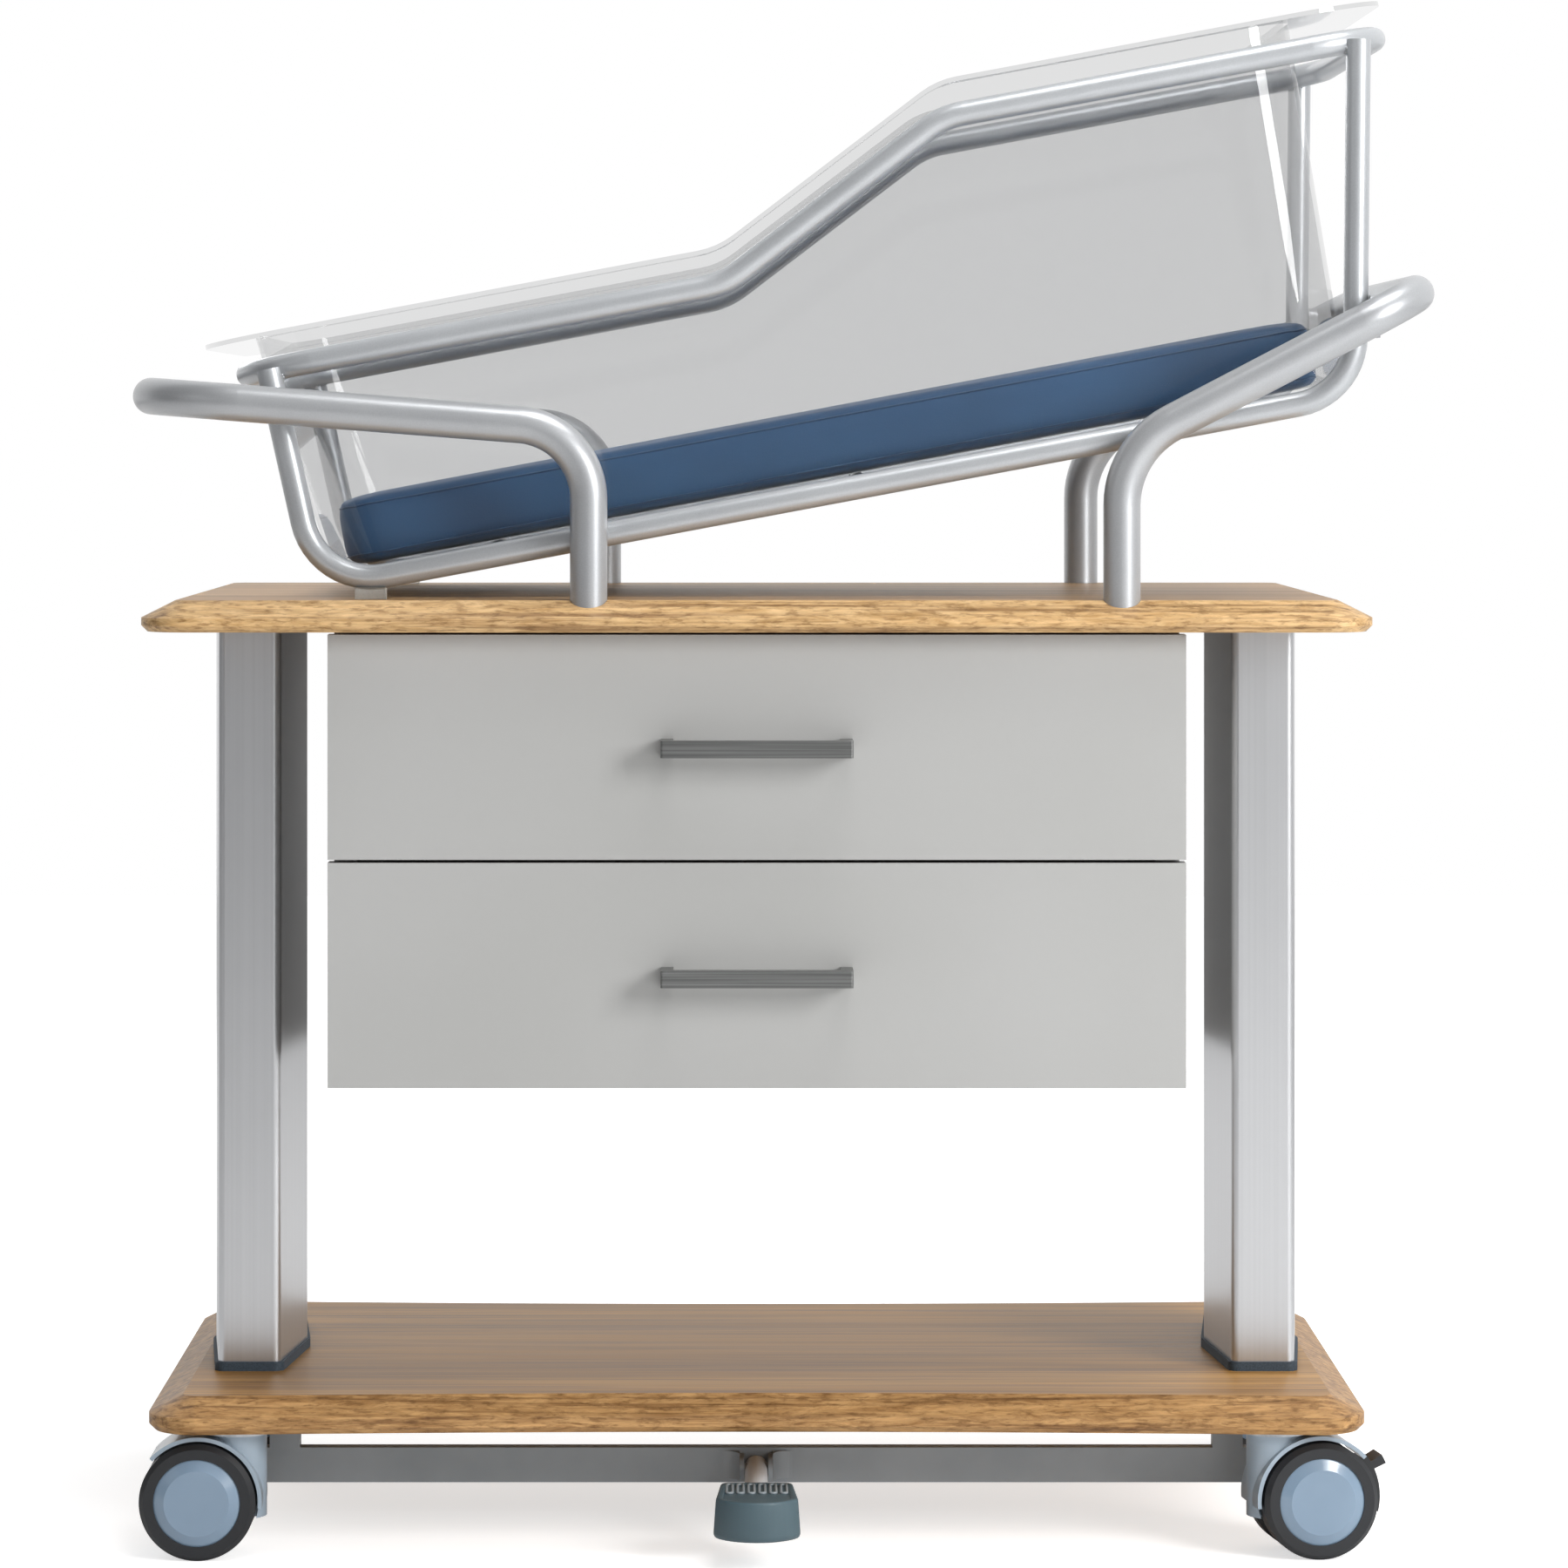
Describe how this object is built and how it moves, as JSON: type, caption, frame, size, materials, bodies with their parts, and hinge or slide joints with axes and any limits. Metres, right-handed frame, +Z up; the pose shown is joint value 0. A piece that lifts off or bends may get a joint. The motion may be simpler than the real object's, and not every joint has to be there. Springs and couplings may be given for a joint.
{
  "type": "hospital bassinet",
  "caption": "Hospital bassinet trolley: clear stepped tub in a tilting tube cradle, above a timber table with drawers, push handles, a pedal and swivel casters.",
  "frame": {"origin": "on the floor below the middle of the overall box", "axes": "+X towards the head end, +Y towards the back, away from the drawer fronts, +Z up"},
  "size_m": [0.847, 0.502, 1.0079],
  "materials": {
    "board": "satin lacquer",
    "column": "satin anodised",
    "column_base": "matt",
    "cabinet": "matt paint",
    "drawer_pull": "satin",
    "slide_steel": "zinc plated",
    "drawer_box": "matt paint",
    "handle_tube": "silver powder coat",
    "cradle_tube": "silver powder coat",
    "rubber": "matt",
    "bar": "satin",
    "caster_fork": "gloss",
    "tyre": "matt",
    "wheel_hub": "gloss",
    "lever": "matt",
    "tub": "clear gloss",
    "mattress": "coated fabric",
    "pedal_arm": "satin",
    "pedal_pad": "matt"
  },
  "bodies": {
    "trolley": {"table_top": "board", "lower_shelf": "board", "column_foot": "column", "column_head": "column", "column_base_foot": "column_base", "column_base_head": "column_base", "cabinet_side_foot": "cabinet", "cabinet_side_head": "cabinet", "cabinet_floor": "cabinet", "cabinet_back": "cabinet", "runners_upper": "slide_steel", "runners_lower": "slide_steel", "push_handle_foot": "handle_tube", "push_handle_head": "handle_tube", "saddles": "rubber", "tilt_guides": "handle_tube", "pedal_bar": "bar", "bar_hangers": "bar", "pedal_bracket": "bar", "caster_plate_front_foot": "slide_steel", "caster_plate_front_head": "slide_steel", "caster_plate_back_foot": "slide_steel", "caster_plate_back_head": "slide_steel"},
    "drawer_upper": {"drawer_front_upper": "cabinet", "drawer_box_upper": "drawer_box", "drawer_slides_upper": "slide_steel", "drawer_pull_upper": "drawer_pull"},
    "drawer_lower": {"drawer_front_lower": "cabinet", "drawer_box_lower": "drawer_box", "drawer_slides_lower": "slide_steel", "drawer_pull_lower": "drawer_pull"},
    "cradle": {"cradle_ring": "cradle_tube", "side_loop_front": "cradle_tube", "side_loop_back": "cradle_tube", "cradle_cross_tubes": "cradle_tube", "tub": "tub", "mattress": "mattress", "rest_pins": "cradle_tube"},
    "pedal": {"pedal_arm": "pedal_arm", "pedal_pad": "pedal_pad"},
    "fork_front_foot": {"caster_fork_front_foot": "caster_fork"},
    "wheels_front_foot": {"tyres_front_foot": "tyre", "wheel_hubs_front_foot": "wheel_hub"},
    "fork_front_head": {"caster_fork_front_head": "caster_fork"},
    "wheels_front_head": {"tyres_front_head": "tyre", "wheel_hubs_front_head": "wheel_hub"},
    "brake_front_head": {"brake_lever_front_head": "lever"},
    "fork_back_foot": {"caster_fork_back_foot": "caster_fork"},
    "wheels_back_foot": {"tyres_back_foot": "tyre", "wheel_hubs_back_foot": "wheel_hub"},
    "brake_back_foot": {"brake_lever_back_foot": "lever"},
    "fork_back_head": {"caster_fork_back_head": "caster_fork"},
    "wheels_back_head": {"tyres_back_head": "tyre", "wheel_hubs_back_head": "wheel_hub"}
  },
  "joints": [
    {"name": "drawer_upper_slide", "type": "slide", "parent": "trolley", "child": "drawer_upper", "axis": [0, -1, 0], "range_m": [0, 0.33]},
    {"name": "drawer_lower_slide", "type": "slide", "parent": "trolley", "child": "drawer_lower", "axis": [0, -1, 0], "range_m": [0, 0.33]},
    {"name": "cradle_tilt", "type": "hinge", "parent": "trolley", "child": "cradle", "pos_m": [-0.266, 0.011, 0.6774], "axis": [0, -1, 0], "range_deg": [0, 6]},
    {"name": "pedal_press", "type": "hinge", "parent": "trolley", "child": "pedal", "pos_m": [-0.0165, -0.109, 0.0425], "axis": [1, 0, 0], "range_deg": [0, 5], "stiffness_Nm_per_rad": 4, "springref_deg": -11.46},
    {"name": "swivel_front_foot", "type": "hinge", "parent": "trolley", "child": "fork_front_foot", "pos_m": [-0.3515, -0.175, 0.0375], "axis": [0, 0, 1], "continuous": true},
    {"name": "roll_front_foot", "type": "hinge", "parent": "fork_front_foot", "child": "wheels_front_foot", "pos_m": [-0.3765, -0.175, 0.0375], "axis": [0, -1, 0], "continuous": true},
    {"name": "swivel_front_head", "type": "hinge", "parent": "trolley", "child": "fork_front_head", "pos_m": [0.3185, -0.175, 0.0375], "axis": [0, 0, 1], "continuous": true},
    {"name": "roll_front_head", "type": "hinge", "parent": "fork_front_head", "child": "wheels_front_head", "pos_m": [0.34319, -0.17109, 0.0375], "axis": [-0.1564, 0.9877, 0], "continuous": true},
    {"name": "brake_front_head_press", "type": "hinge", "parent": "fork_front_head", "child": "brake_front_head", "pos_m": [0.34319, -0.17109, 0.0375], "axis": [-0.1564, 0.9877, 0], "range_deg": [0, 10]},
    {"name": "swivel_back_foot", "type": "hinge", "parent": "trolley", "child": "fork_back_foot", "pos_m": [-0.3515, 0.197, 0.0375], "axis": [0, 0, 1], "continuous": true},
    {"name": "roll_back_foot", "type": "hinge", "parent": "fork_back_foot", "child": "wheels_back_foot", "pos_m": [-0.3765, 0.197, 0.0375], "axis": [0, -1, 0], "continuous": true},
    {"name": "brake_back_foot_press", "type": "hinge", "parent": "fork_back_foot", "child": "brake_back_foot", "pos_m": [-0.3765, 0.197, 0.0375], "axis": [0, -1, 0], "range_deg": [0, 10]},
    {"name": "swivel_back_head", "type": "hinge", "parent": "trolley", "child": "fork_back_head", "pos_m": [0.3185, 0.197, 0.0375], "axis": [0, 0, 1], "continuous": true},
    {"name": "roll_back_head", "type": "hinge", "parent": "fork_back_head", "child": "wheels_back_head", "pos_m": [0.3435, 0.197, 0.0375], "axis": [0, 1, 0], "continuous": true}
  ]
}
